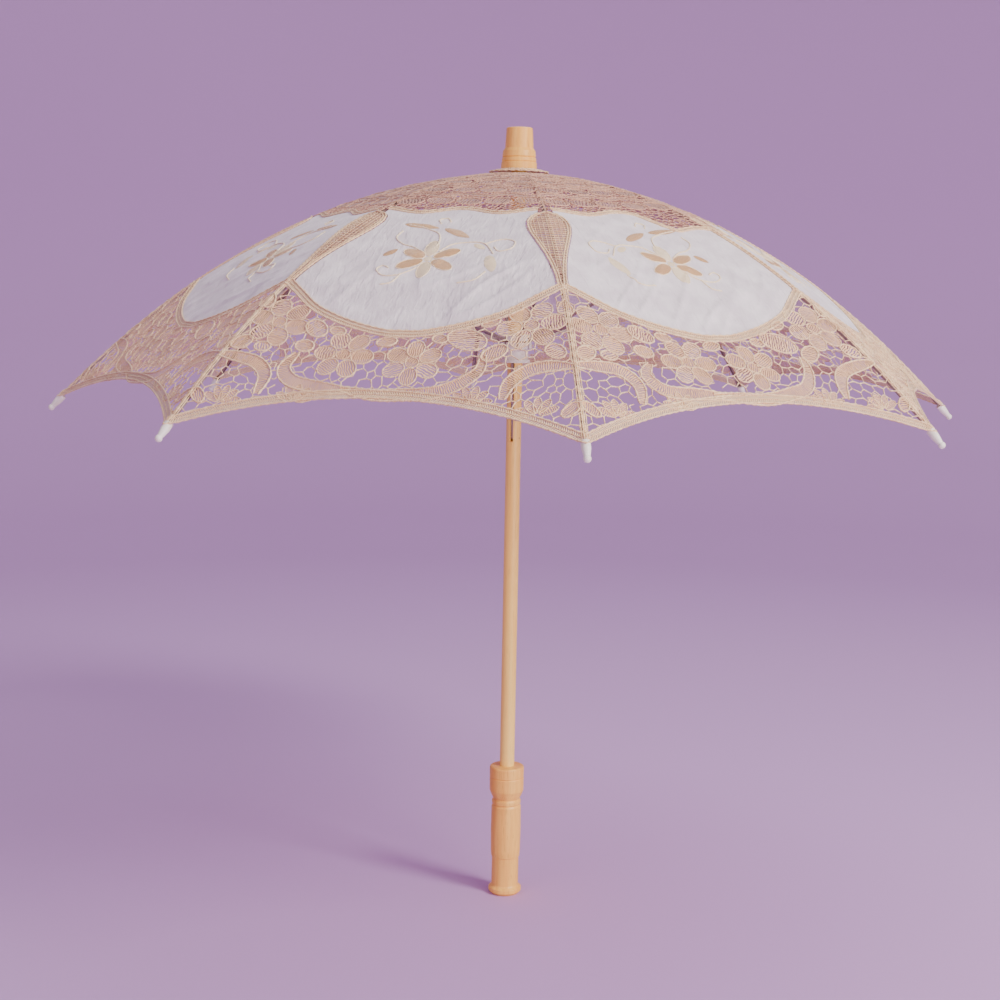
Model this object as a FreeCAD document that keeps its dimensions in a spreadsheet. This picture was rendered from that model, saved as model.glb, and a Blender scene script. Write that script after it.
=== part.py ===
"""Lace parasol: a round wooden shaft with a turned grip and top cap, an eight-rib steel frame
that folds on a runner, a spring catch let into the shaft, and a lace canopy in sixteen half gores.

Millimetres, +Z up. The origin is the centre of the grip, on the shaft's axis. Rib 1 points to -Y
and the ribs are numbered anticlockwise from above. The canopy is open.
"""

import FreeCAD, Part
import math
import os
import Sketcher

RIBS = 8
HALF_GORE_DEG = 180.0 / RIBS

SIZES = [
    ("rib_span", 400.0, "shaft axis to the end of a rib's tip"),
    ("crown_height", 600.0, "grip centre to the top of the canopy"),
    ("crown_slope", 0.0332, "slope of the canopy at its centre"),
    ("crown_bend", 0.4209, "part of the canopy's drop that grows with the square of the radius"),
    ("crown_flare", 0.0627, "part of the drop that grows with the cube of the radius"),
    ("cloth_thickness", 0.6, "upright thickness of the lace and its lining"),
    ("cloth_gap", 0.8, "upright gap between the cloth and what is under it"),
    ("cloth_hole", 9.0, "radius where the cloth starts round the shaft"),
    ("seam_gap", 0.2, "half of the gap between two half gores"),
    ("hem_at_rib", 386.0, "radius of the hem where it meets a rib"),
    ("hem_at_middle", 370.0, "radius at a rib that is level with the middle of a hem scallop"),
    ("shaft_radius", 6.6, "wooden shaft"),
    ("shaft_in_grip", 30.0, "how far the shaft goes below the grip's centre"),
    ("shaft_in_cap", 20.0, "how far the shaft goes into the top cap"),
    ("glue_gap", 0.03, "gap round a glued or pressed joint"),
    ("slide_gap", 0.35, "gap between the runner and the shaft"),
    ("pivot_radius", 11.0, "radius of the two wire rings that the eyes turn on"),
    ("pivot_drop", 6.0, "top of the canopy down to the rib pivots"),
    ("ring_wire", 0.5, "radius of the wire rings"),
    ("eye_hole", 0.8, "radius of the eyes on the wire rings"),
    ("eye_radius", 1.6, "outside radius of an eye"),
    ("plate_thickness", 1.2, "flattened ends of ribs and stretchers"),
    ("hub_slot", 1.9, "width of the slots that the flattened ends turn in"),
    ("hub_radius", 14.5, "toothed rims of the crown and the runner"),
    ("hub_slot_height", 16.0, "height of a slot, open at the rim's edge"),
    ("hub_slot_drop", 6.5, "pivot down to the bottom of a slot"),
    ("crown_rim_drop", 6.0, "pivot down to the bottom of the crown's rim"),
    ("crown_rim_height", 10.1, "height of the crown's rim"),
    ("crown_neck_radius", 9.0, "crown's neck on the shaft"),
    ("crown_neck_height", 8.0, "height of the crown's neck"),
    ("hub_slot_floor", 9.1, "radius of the bottom of a slot"),
    ("ring_groove_floor", 10.4, "radius of the bottom of the wire's groove"),
    ("ring_groove_width", 1.2, "height of the wire's groove"),
    ("rib_width", 3.2, "steel channel of a rib"),
    ("rib_depth", 2.6, "upright depth of the channel"),
    ("steel_wall", 0.7, "wall of the channels"),
    ("rib_tab_end", 26.0, "radius where the flattened eye's plate ends inside the channel"),
    ("rib_tab_rise", 1.9, "top of the plate above the eye"),
    ("ear_radius", 1.9, "round ends of a rib's two ears"),
    ("ear_height", 5.0, "ears, from the joint up into the channel's walls"),
    ("rib_channel_start", 19.5, "radius where the channel starts"),
    ("rib_channel_end", 392.0, "radius where the channel ends, inside the tip"),
    ("joint_radius", 231.0, "shaft axis to the joint of rib and stretcher"),
    ("joint_below_rib", 3.0, "bottom of the rib down to that joint"),
    ("rivet_radius", 0.7, "joint rivets"),
    ("rivet_overhang", 0.55, "how far a rivet stands out of the rib on each side"),
    ("rivet_head_radius", 1.2, "heads of the joint rivets"),
    ("rivet_head_height", 0.5, "height of those heads"),
    ("rivet_hole", 0.85, "the stretcher's hole for the rivet"),
    ("stretcher_width", 2.4, "steel channel of a stretcher"),
    ("stretcher_depth", 2.4, "depth of the stretcher's channel"),
    ("stretcher_wall", 0.6, "wall of the stretcher's channel"),
    ("joint_flat", 10.0, "flattened end of a stretcher at the rib"),
    ("runner_flat", 20.0, "flattened end of a stretcher at the runner"),
    ("flat_overlap", 1.0, "how far the channel reaches over a flattened end"),
    ("flute_margin", 4.0, "flattened end to the start of the channel's flute"),
    ("tip_sleeve", 6.0, "straight sleeve of a tip on the rib"),
    ("tip_body_radius", 3.3, "plastic tip where it holds the rib"),
    ("tip_neck_radius", 1.9, "tip behind its ball"),
    ("tip_ball_radius", 2.7, "ball at the end of a tip"),
    ("tip_length", 14.0, "plastic tip along the rib"),
    ("runner_drop", 18.4, "runner's pivots down to its bottom edge"),
    ("runner_rise", 6.0, "runner's pivots up to its top edge"),
    ("runner_rim_drop", 6.0, "runner's pivots down to the bottom of its rim"),
    ("runner_foot_radius", 13.0, "flange at the runner's bottom, for the fingers"),
    ("runner_foot_height", 2.5, "height of that flange"),
    ("runner_sleeve", 11.4, "outside radius of the runner's sleeve"),
    ("key_width", 3.2, "groove in the runner that passes over the catch"),
    ("key_radius", 10.0, "radius that the groove reaches"),
    ("catch_slot_top", 437.0, "top of the slot in the shaft"),
    ("catch_slot_length", 70.0, "length of the slot in the shaft"),
    ("catch_slot_width", 2.6, "width of the slot in the shaft"),
    ("catch_thickness", 1.8, "steel leaf of the catch"),
    ("catch_nose", 2.8, "how far the catch stands out of the shaft"),
    ("catch_knuckle", 1.7, "radius of the catch round its pin"),
    ("turning_gap", 0.08, "gap round a pin that turns"),
    ("catch_pin_radius", 0.8, "pin that the catch turns on"),
    ("catch_pin_out", 2.5, "catch pin from the shaft's axis"),
    ("catch_pin_up", 3.0, "catch pin above the slot's bottom"),
    ("catch_pin_length", 11.8, "length of the catch pin, just inside the shaft's surface"),
    ("stop_pin_radius", 0.8, "pin that stops the runner's rise"),
    ("stop_pin_start", 2.2, "inner end of the stop pin from the shaft's axis"),
    ("stop_pin_length", 7.0, "length of the stop pin"),
    ("stop_pin_rise", 1.2, "middle of the stop pin above the runner's top edge"),
]

doc = FreeCAD.newDocument("parasol")
sheet = doc.addObject("Spreadsheet::Sheet", "sizes")
for row, (word, number, note) in enumerate(SIZES, start=1):
    sheet.set(f"A{row}", word)
    sheet.set(f"B{row}", str(number))
    sheet.set(f"C{row}", note)
    sheet.setAlias(f"B{row}", word)
doc.recompute()

UP = FreeCAD.Vector(0, 0, 1)
nodes = []


def size(word):
    """A size from the sheet, for the shapes that are made of Part's own curves."""
    return float(sheet.get(word))


def azimuth(rib):
    """The direction of a rib, in degrees from +X; rib 1 points to -Y."""
    return -90.0 + (rib - 1) * 2 * HALF_GORE_DEG


def keep(piece, label, turn=0.0):
    """Names a finished sub-part and turns it about the shaft's axis."""
    piece.Label = label
    placed = FreeCAD.Placement(FreeCAD.Vector(0, 0, 0), FreeCAD.Rotation(UP, turn))
    piece.Placement = placed.multiply(piece.Placement)
    nodes.append(piece)
    return piece


def bind(piece, **sizes):
    """Binds properties to expressions in the sheet's words."""
    for name, expression in sizes.items():
        piece.setExpression(name, expression)
    return piece


def at(piece, x="0", y="0", z="0"):
    """Binds the place of a primitive."""
    piece.setExpression("Placement.Base.x", x)
    piece.setExpression("Placement.Base.y", y)
    piece.setExpression("Placement.Base.z", z)
    return piece


def cylinder(name, radius, height, z):
    made = doc.addObject("Part::Cylinder", name)
    bind(made, Radius=radius, Height=height)
    return at(made, z=z)


def lying_cylinder(name, radius, length, x, z, direction):
    """A cylinder along a level direction, centred on y = 0 when it runs along Y."""
    made = doc.addObject("Part::Cylinder", name)
    bind(made, Radius=radius, Height=length)
    made.Placement.Rotation = FreeCAD.Rotation(UP, direction)
    at(made, x=x, z=z)
    if direction.y:
        made.setExpression("Placement.Base.y", f"-({length}) / 2")
    return made


def block(name, length, width, height, x, z, y=None):
    """A box, centred on y = 0 unless y is given."""
    made = doc.addObject("Part::Box", name)
    bind(made, Length=length, Width=width, Height=height)
    return at(made, x=x, y=y or f"-({width}) / 2", z=z)


def torus(name, ring, wire, z):
    made = doc.addObject("Part::Torus", name)
    bind(made, Radius1=ring, Radius2=wire)
    return at(made, z=z)


def fuse(name, pieces):
    made = doc.addObject("Part::MultiFuse", name)
    made.Shapes = pieces
    made.Refine = True
    return made


def cut(name, base, tool):
    made = doc.addObject("Part::Cut", name)
    made.Base = base
    made.Tool = tool
    return made


def shaped(name, shape):
    """A piece made with Part's own curves."""
    made = doc.addObject("Part::Feature", name)
    made.Shape = shape
    return made


def around(name, piece, count):
    """Copies of a piece, evenly turned about the shaft's axis, as one tool."""
    tools = []
    for number in range(count):
        copy = doc.addObject("Part::Feature", f"{name}_{number + 1}")
        copy.Shape = piece.Shape
        turned = FreeCAD.Rotation(UP, 360.0 * number / count)
        copy.Placement = FreeCAD.Placement(FreeCAD.Vector(), turned).multiply(piece.Placement)
        tools.append(copy)
    return fuse(name, tools)


def origin_plane(body, role):
    for feature in body.Origin.OriginFeatures:
        if feature.Role == role:
            return feature
    raise RuntimeError(f"{body.Name} has no {role}")


def turned(name, corners, base, rounds=()):
    """A body turned about the shaft's axis. Corners are (radius, height) expressions from its
    base, with 0 for a point on the axis or the base; rounds are (corner, fillet radius)."""
    body = doc.addObject("PartDesign::Body", name)
    sketch = body.newObject("Sketcher::SketchObject", f"{name}_outline")
    sketch.AttachmentSupport = [(origin_plane(body, "XZ_Plane"), "")]
    sketch.MapMode = "FlatFace"
    count = len(corners)
    start = [FreeCAD.Vector(10 + step, 4 + 3 * step, 0) for step in range(count)]
    for step in range(count):
        sketch.addGeometry(Part.LineSegment(start[step], start[(step + 1) % count]))
    for step in range(count):
        link = Sketcher.Constraint("Coincident", step, 2, (step + 1) % count, 1)
        sketch.addConstraint(link)
    for step, corner in enumerate(corners):
        for axis, kind, expression in zip((-2, -1), ("DistanceX", "DistanceY"), corner):
            if expression == "0":
                sketch.addConstraint(Sketcher.Constraint("PointOnObject", step, 1, axis))
                continue
            number = sketch.addConstraint(Sketcher.Constraint(kind, -1, 1, step, 1, 5.0))
            sketch.renameConstraint(number, f"{kind}_{step}")
            sketch.setExpression(f"Constraints.{kind}_{step}", expression)
    doc.recompute()
    revolved = body.newObject("PartDesign::Revolution", f"{name}_turned")
    revolved.Profile = sketch
    revolved.ReferenceAxis = (sketch, ["V_Axis"])
    revolved.Angle = 360.0
    doc.recompute()
    tip = revolved
    for step, (corner, radius) in enumerate(rounds):
        point = sketch.Geometry[corner].StartPoint
        names = [
            f"Edge{place}"
            for place, edge in enumerate(tip.Shape.Edges, start=1)
            if edge.Curve.TypeId == "Part::GeomCircle"
            and abs(edge.Curve.Radius - point.x) < 0.01
            and abs(edge.Curve.Center.z - point.y) < 0.01
        ]
        rounded = body.newObject("PartDesign::Fillet", f"{name}_round_{step + 1}")
        rounded.Base = (tip, names)
        rounded.Radius = radius
        doc.recompute()
        tip = rounded
    body.Tip = tip
    body.setExpression("Placement.Base.z", base)
    return body


def crown_line(squeeze, drop, inner, outer):
    """The canopy's line over a rib, from one radius to another, lowered by drop. The drop of the
    canopy is a cubic in the radius, so one Bezier curve holds it exactly. Squeeze narrows the
    line for the middle of a gore, which is level with the ribs but nearer the shaft."""
    span = size("rib_span")
    slope = size("crown_slope")
    bend = size("crown_bend")
    drops = [0, slope / 3, (2 * slope + bend) / 3, slope + bend + size("crown_flare")]
    top = size("crown_height") - drop
    poles = [
        FreeCAD.Vector(step * span / 3 * squeeze, 0, top - span * fall)
        for step, fall in enumerate(drops)
    ]
    curve = Part.BezierCurve()
    curve.setPoles(poles)
    curve.segment(inner / span, outer / span)
    return curve


def crown_drop(radius):
    """How far the canopy has dropped over a rib at a radius."""
    share = radius / size("rib_span")
    rise = size("crown_slope") + share * (size("crown_bend") + share * size("crown_flare"))
    return size("rib_span") * share * rise


def crown_band(squeeze, drop, depth, inner, outer):
    """The upright band under the crown line, as a face."""
    upper = crown_line(squeeze, drop, inner, outer)
    lower = crown_line(squeeze, drop + depth, inner, outer)
    inner_edge = Part.makeLine(lower.StartPoint, upper.StartPoint)
    outer_edge = Part.makeLine(upper.EndPoint, lower.EndPoint)
    return Part.Face(Part.Wire([upper.toShape(), outer_edge, lower.toShape(), inner_edge]))


def slab(face, width):
    """A face in the XZ plane made as thick as width, centred on it."""
    face.translate(FreeCAD.Vector(0, -width / 2, 0))
    return face.extrude(FreeCAD.Vector(0, width, 0))


# Where the frame's pivots are, in the plane of a rib.
PIVOT_HEIGHT = size("crown_height") - size("pivot_drop")
RIB_UNDER_CLOTH = size("cloth_thickness") + size("cloth_gap")
JOINT_HEIGHT = (
    size("crown_height")
    - crown_drop(size("joint_radius"))
    - RIB_UNDER_CLOTH
    - size("rib_depth")
    - size("joint_below_rib")
)
RUNNER_HEIGHT = 2 * JOINT_HEIGHT - PIVOT_HEIGHT
STRETCHER_REACH = size("joint_radius") - size("pivot_radius")
STRETCHER_RISE = JOINT_HEIGHT - RUNNER_HEIGHT
for word, number in (("pivot_height", PIVOT_HEIGHT), ("joint_height", JOINT_HEIGHT),
                     ("runner_height", RUNNER_HEIGHT)):
    row += 1
    sheet.set(f"A{row}", word)
    sheet.set(f"B{row}", str(number))
    sheet.set(f"C{row}", "worked out from the cells above")
    sheet.setAlias(f"B{row}", word)
doc.recompute()


def make_shaft():
    rod = cylinder(
        "shaft_rod",
        "sizes.shaft_radius",
        "sizes.crown_height + sizes.shaft_in_grip + sizes.shaft_in_cap",
        "-sizes.shaft_in_grip",
    )
    slot = block(
        "shaft_slot",
        "sizes.shaft_radius + 3",
        "sizes.catch_slot_width",
        "sizes.catch_slot_length",
        "-2",
        "sizes.catch_slot_top - sizes.catch_slot_length",
    )
    pin_hole = lying_cylinder(
        "shaft_pin_hole",
        "sizes.catch_pin_radius + sizes.glue_gap",
        "2 * sizes.shaft_radius + 4",
        "sizes.catch_pin_out",
        "sizes.catch_slot_top - sizes.catch_slot_length + sizes.catch_pin_up",
        FreeCAD.Vector(0, 1, 0),
    )
    stop_hole = lying_cylinder(
        "shaft_stop_hole",
        "sizes.stop_pin_radius + sizes.glue_gap",
        "sizes.stop_pin_length + 3",
        "sizes.stop_pin_start - 0.2",
        "sizes.runner_height + sizes.runner_rise + sizes.stop_pin_rise",
        FreeCAD.Vector(1, 0, 0),
    )
    doc.recompute()
    tools = fuse("shaft_cuts", [slot, pin_hole, stop_hole])
    keep(cut("shaft", rod, tools), "shaft", azimuth(1) - HALF_GORE_DEG)


def make_catch():
    """The spring catch, its pin and the stop pin above the runner, on the side between two ribs."""
    side = azimuth(1) - HALF_GORE_DEG
    bottom = size("catch_slot_top") - size("catch_slot_length")
    nose = size("shaft_radius") + size("catch_nose")
    top = size("catch_slot_top") - 1.2
    corners = [
        (1.0, bottom + 3.0),
        (4.2, bottom + 3.0),
        (5.6, bottom + 22.0),
        (nose, top - 5.0),
        (nose, top - 0.4),
        (nose - 0.4, top),
        (2.8, top),
        (2.8, bottom + 22.0),
    ]
    points = [FreeCAD.Vector(x, 0, z) for x, z in corners]
    leaf = slab(Part.Face(Part.makePolygon(points + points[:1])), size("catch_thickness"))
    pin_out = size("catch_pin_out")
    pin_height = bottom + size("catch_pin_up")
    pivot = FreeCAD.Vector(pin_out, -size("catch_thickness") / 2, pin_height)
    along = FreeCAD.Vector(0, 1, 0)
    knuckle = Part.makeCylinder(size("catch_knuckle"), size("catch_thickness"), pivot, along)
    hole_radius = size("catch_pin_radius") + size("turning_gap")
    hole = Part.makeCylinder(hole_radius, 6, pivot - 2 * along, along)
    keep(shaped("spring_catch", leaf.fuse(knuckle).cut(hole).removeSplitter()), "spring_catch", side)
    pin_length = size("catch_pin_length")
    pin_end = FreeCAD.Vector(pin_out, -pin_length / 2, pin_height)
    pin = Part.makeCylinder(size("catch_pin_radius"), pin_length, pin_end, along)
    keep(shaped("catch_pin", pin), "catch_pin", side)
    stop_height = RUNNER_HEIGHT + size("runner_rise") + size("stop_pin_rise")
    stop_end = FreeCAD.Vector(size("stop_pin_start"), 0, stop_height)
    stop = Part.makeCylinder(
        size("stop_pin_radius"), size("stop_pin_length"), stop_end, FreeCAD.Vector(1, 0, 0)
    )
    keep(shaped("stop_pin", stop), "stop_pin", side)


def make_handle():
    """The turned grip: collar, neck, bead, barrel, waist and foot, bored for the shaft."""
    corners = [
        ("0", "0"),
        ("12.6", "0"),
        ("14.9", "2.4"),
        ("14.9", "5.4"),
        ("12.9", "7.2"),
        ("12.2", "8.4"),
        ("12.2", "34.4"),
        ("12.9", "34.9"),
        ("13.3", "39.5"),
        ("13.6", "60"),
        ("13.3", "81.6"),
        ("12.3", "83.2"),
        ("13.1", "84.4"),
        ("13.1", "87"),
        ("11.9", "88.6"),
        ("13.6", "92"),
        ("15.4", "96.5"),
        ("15.5", "108"),
        ("15", "108.7"),
        ("15.5", "109.4"),
        ("15.5", "119"),
        ("sizes.shaft_radius + sizes.glue_gap", "119"),
        ("sizes.shaft_radius + sizes.glue_gap", "16.9"),
        ("0", "16.9"),
    ]
    rounds = [(2, 0.5), (3, 0.5), (10, 0.6), (12, 0.8), (13, 0.8), (16, 2.0), (20, 1.8)]
    keep(turned("handle", corners, "-47", rounds), "handle")


def make_cap():
    """The turned top cap: a tapered plug over a bead and two rings, bored for the shaft."""
    corners = [
        ("sizes.shaft_radius + sizes.glue_gap", "0"),
        ("15.2", "0"),
        ("15.5", "1"),
        ("15.3", "5.6"),
        ("14.5", "6.2"),
        ("15", "6.9"),
        ("14.8", "9.3"),
        ("14", "10"),
        ("14.6", "10.8"),
        ("14", "15.5"),
        ("12.9", "17"),
        ("12.3", "18"),
        ("11.3", "35.3"),
        ("0", "35.3"),
        ("0", "17.3"),
        ("sizes.shaft_radius + sizes.glue_gap", "17.3"),
    ]
    rounds = [(2, 0.6), (3, 0.5), (5, 0.5), (6, 0.4), (9, 1.2), (12, 1.2)]
    keep(turned("top_cap", corners, "sizes.crown_height + 3", rounds), "top_cap")


def make_rosette():
    """The small gathered collar of lace between the top cap and the canopy."""
    corners = [
        ("sizes.shaft_radius + sizes.glue_gap", "0"),
        ("25", "0"),
        ("25", "0.5"),
        ("15.6", "2.7"),
        ("sizes.shaft_radius + sizes.glue_gap", "2.7"),
    ]
    keep(turned("crown_rosette", corners, "sizes.crown_height + 0.25"), "crown_rosette")


def slotted_hub(name, solid, pivot):
    """Cuts the eye slots and the wire's groove into a hub, round its pivots' height."""
    slot = block(
        f"{name}_slot",
        "sizes.hub_radius",
        "sizes.hub_slot",
        "sizes.hub_slot_height",
        "sizes.hub_slot_floor",
        f"{pivot} - sizes.hub_slot_drop",
    )
    groove_outside = cylinder(f"{name}_groove_out", "sizes.hub_radius + 2",
                              "sizes.ring_groove_width", f"{pivot} - sizes.ring_groove_width / 2")
    groove_inside = cylinder(f"{name}_groove_in", "sizes.ring_groove_floor", "8", f"{pivot} - 4")
    doc.recompute()
    slots = around(f"{name}_slots", slot, RIBS)
    groove = cut(f"{name}_groove", groove_outside, groove_inside)
    return cut(name, solid, fuse(f"{name}_cuts", [slots, groove]))


def make_crown():
    """The slotted crown under the cloth, and the wire ring that the ribs turn on."""
    rim = cylinder("crown_rim", "sizes.hub_radius", "sizes.crown_rim_height",
                   "sizes.pivot_height - sizes.crown_rim_drop")
    neck = cylinder("crown_neck", "sizes.crown_neck_radius", "sizes.crown_neck_height",
                    "sizes.pivot_height - sizes.crown_rim_drop - sizes.crown_neck_height")
    bore = cylinder("crown_bore", "sizes.shaft_radius + sizes.glue_gap", "30",
                    "sizes.pivot_height - 20")
    solid = cut("crown_solid", fuse("crown_outside", [rim, neck]), bore)
    keep(slotted_hub("crown", solid, "sizes.pivot_height"), "crown", azimuth(1))
    ring = torus("crown_ring", "sizes.pivot_radius", "sizes.ring_wire", "sizes.pivot_height")
    keep(ring, "crown_ring")


def make_runner():
    """The runner that slides on the shaft, grooved for the catch, and its wire ring."""
    sleeve = cylinder("runner_sleeve_part", "sizes.runner_sleeve",
                      "sizes.runner_drop + sizes.runner_rise",
                      "sizes.runner_height - sizes.runner_drop")
    rim = cylinder("runner_rim", "sizes.hub_radius", "sizes.runner_rise + sizes.runner_rim_drop",
                   "sizes.runner_height - sizes.runner_rim_drop")
    foot = cylinder("runner_foot", "sizes.runner_foot_radius", "sizes.runner_foot_height",
                    "sizes.runner_height - sizes.runner_drop")
    bore = cylinder("runner_bore", "sizes.shaft_radius + sizes.slide_gap", "60",
                    "sizes.runner_height - 30")
    key = block("runner_key", "sizes.key_radius", "sizes.key_width", "60", "0",
                "sizes.runner_height - 30")
    key.Placement.Rotation = FreeCAD.Rotation(UP, -HALF_GORE_DEG)
    key.setExpression("Placement.Base.x", "-sizes.key_width / 2 * sin(22.5)")
    key.setExpression("Placement.Base.y", "-sizes.key_width / 2 * cos(22.5)")
    doc.recompute()
    solid = cut("runner_solid", fuse("runner_outside", [sleeve, rim, foot]),
                fuse("runner_holes", [bore, key]))
    keep(slotted_hub("runner", solid, "sizes.runner_height"), "runner", azimuth(1))
    ring = torus("runner_ring", "sizes.pivot_radius", "sizes.ring_wire", "sizes.runner_height")
    keep(ring, "runner_ring")


def rib_shape():
    """A fluted steel rib along +X: an upside-down channel with a flattened eye and two ears."""
    inner = size("rib_channel_start")
    outer = size("rib_channel_end")
    wall = size("steel_wall")
    depth = size("rib_depth")
    width = size("rib_width")
    body = slab(crown_band(1, RIB_UNDER_CLOTH, depth, inner, outer), width)
    flute_band = crown_band(1, RIB_UNDER_CLOTH + wall, depth, inner - 1, outer + 1)
    flute = slab(flute_band, width - 2 * wall)
    body = body.cut(flute)
    eye_x = size("pivot_radius")
    half = size("eye_radius")
    plate = size("plate_thickness")
    tab_end = size("rib_tab_end")
    web = PIVOT_HEIGHT + half + size("rib_tab_rise")
    corners = [
        (eye_x, PIVOT_HEIGHT - half),
        (tab_end, PIVOT_HEIGHT - half),
        (tab_end + 1.0, web - 1.2),
        (tab_end, web - 0.2),
        (inner, web),
        (inner - 4, PIVOT_HEIGHT + half),
        (eye_x, PIVOT_HEIGHT + half),
    ]
    points = [FreeCAD.Vector(x, 0, z) for x, z in corners]
    tab = slab(Part.Face(Part.makePolygon(points + points[:1])), plate)
    across = FreeCAD.Vector(0, 1, 0)
    eye_centre = FreeCAD.Vector(eye_x, -plate / 2, PIVOT_HEIGHT)
    tab = tab.fuse(Part.makeCylinder(half, plate, eye_centre, across))
    hole = Part.makeCylinder(size("eye_hole"), plate + 4, eye_centre - 2 * across, across)
    body = body.fuse(tab).cut(hole)
    joint = FreeCAD.Vector(size("joint_radius"), 0, JOINT_HEIGHT)
    ear_radius = size("ear_radius")
    for side in (-1, 1):
        ear_y = side * (width / 2 - wall / 2) - wall / 2
        foot = FreeCAD.Vector(joint.x, ear_y, joint.z)
        round_end = Part.makeCylinder(ear_radius, wall, foot, across)
        ear_corner = foot - FreeCAD.Vector(ear_radius, 0, 0)
        ear = Part.makeBox(2 * ear_radius, wall, size("ear_height"), ear_corner)
        pin_hole = Part.makeCylinder(size("rivet_radius") + size("glue_gap"), 9,
                                     foot - 4 * across, across)
        body = body.fuse(round_end.fuse(ear)).cut(pin_hole)
    return body.removeSplitter()


def stretcher_shape():
    """A steel stretcher from the rib's joint to the runner, with a flattened eye at each end."""
    length = math.hypot(STRETCHER_REACH, STRETCHER_RISE)
    depth = size("stretcher_depth")
    width = size("stretcher_width")
    plate = size("plate_thickness")
    wall = size("stretcher_wall")
    flats = size("joint_flat") + size("runner_flat")
    overlap = size("flat_overlap")
    margin = size("flute_margin")
    bar_start = FreeCAD.Vector(size("joint_flat") - overlap, -width / 2, -depth / 2)
    bar = Part.makeBox(length - flats + 2 * overlap, width, depth, bar_start)
    flute_start = FreeCAD.Vector(size("joint_flat") + margin, wall - width / 2, wall - depth / 2)
    flute = Part.makeBox(length - flats - 2 * margin, width - 2 * wall, depth, flute_start)
    shape = bar.cut(flute)
    across = FreeCAD.Vector(0, 1, 0)
    ends = ((0, size("joint_flat"), "rivet_hole"),
            (length, length - size("runner_flat"), "eye_hole"))
    for start, end, hole in ends:
        low = min(start, end)
        plate_box = Part.makeBox(abs(end - start), plate, depth,
                                 FreeCAD.Vector(low, -plate / 2, -depth / 2))
        centre = FreeCAD.Vector(start, -plate / 2, 0)
        shape = shape.fuse(plate_box).fuse(
            Part.makeCylinder(size("eye_radius"), plate, centre, across))
        shape = shape.cut(Part.makeCylinder(size(hole), plate + 4, centre - 2 * across, across))
    shape = shape.removeSplitter()
    slope = math.degrees(math.atan2(STRETCHER_RISE, STRETCHER_REACH))
    lean = FreeCAD.Rotation(across, 180.0 - slope)
    shape.Placement = FreeCAD.Placement(
        FreeCAD.Vector(size("joint_radius"), 0, JOINT_HEIGHT), lean)
    return shape


def rivet_shape():
    """The rivet through a rib's ears, with a domed head on each side."""
    across = FreeCAD.Vector(0, 1, 0)
    half = size("rib_width") / 2
    reach = half + size("rivet_overhang")
    start = FreeCAD.Vector(size("joint_radius"), -reach, JOINT_HEIGHT)
    pin = Part.makeCylinder(size("rivet_radius"), 2 * reach, start, across)
    head_height = size("rivet_head_height")
    head = Part.makeCylinder(size("rivet_head_radius"), head_height, start, across)
    far_start = start + (2 * reach - head_height) * across
    far_head = Part.makeCylinder(size("rivet_head_radius"), head_height, far_start, across)
    return pin.fuse(head).fuse(far_head).removeSplitter()


def tip_shape():
    """A plastic rib tip: a sleeve on the rib, a tapering neck and a ball."""
    end = size("rib_span")
    line = crown_line(1, RIB_UNDER_CLOTH + size("rib_depth") / 2, end - 20, end)
    ball_centre = line.EndPoint
    tangent = line.tangent(line.LastParameter)[0]
    ball_centre = ball_centre - size("tip_ball_radius") * tangent
    length = size("tip_length")
    start = ball_centre - length * tangent
    straight = size("tip_sleeve")
    sleeve = Part.makeCylinder(size("tip_body_radius"), straight, start, tangent)
    neck = Part.makeCone(size("tip_body_radius"), size("tip_neck_radius"), length - straight,
                         start + straight * tangent, tangent)
    ball = Part.makeSphere(size("tip_ball_radius"), ball_centre)
    solid = sleeve.fuse(neck).fuse(ball)
    socket_band = crown_band(1, RIB_UNDER_CLOTH - 0.1, size("rib_depth") + 0.2,
                             end - 30, size("rib_channel_end") + 0.2)
    return solid.cut(slab(socket_band, size("rib_width") + 0.1)).removeSplitter()


def half_gore_shape(side):
    """Half of a gore on one side of its middle line, which runs along +X. The cloth only bends
    along X, so it is a band under the narrowed crown line, trimmed by the rib and the hem."""
    squeeze = math.cos(math.radians(HALF_GORE_DEG))
    slant = math.tan(math.radians(HALF_GORE_DEG))
    inner = size("cloth_hole")
    outer = size("hem_at_rib")
    gap = size("seam_gap")
    band = crown_band(squeeze, 0, size("cloth_thickness"), inner, outer)
    far = outer * squeeze
    middle = size("hem_at_middle") * squeeze
    half_width = far * slant
    cloth = band.extrude(FreeCAD.Vector(0, half_width, 0))
    rib_side = gap / squeeze
    near = inner * squeeze
    low = FreeCAD.Vector(0, 0, size("crown_height") - crown_drop(outer) - 10)
    corners = [
        FreeCAD.Vector(near, gap, 0),
        FreeCAD.Vector(middle, gap, 0),
        FreeCAD.Vector(far, half_width - rib_side, 0),
        FreeCAD.Vector(near, near * slant - rib_side, 0),
    ]
    sag = FreeCAD.Vector(middle + (far - middle) / 4, half_width / 2, 0)
    hem = Part.Arc(corners[1], sag, corners[2]).toShape()
    plan = Part.Wire([
        Part.makeLine(corners[0], corners[1]),
        hem,
        Part.makeLine(corners[2], corners[3]),
        Part.makeLine(corners[3], corners[0]),
    ])
    plan.translate(low)
    trim = Part.Face(plan).extrude(FreeCAD.Vector(0, 0, crown_drop(outer) + 20))
    cloth = cloth.common(trim)
    if side < 0:
        cloth = cloth.mirror(FreeCAD.Vector(0, 0, 0), FreeCAD.Vector(0, 1, 0))
    return cloth


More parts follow.
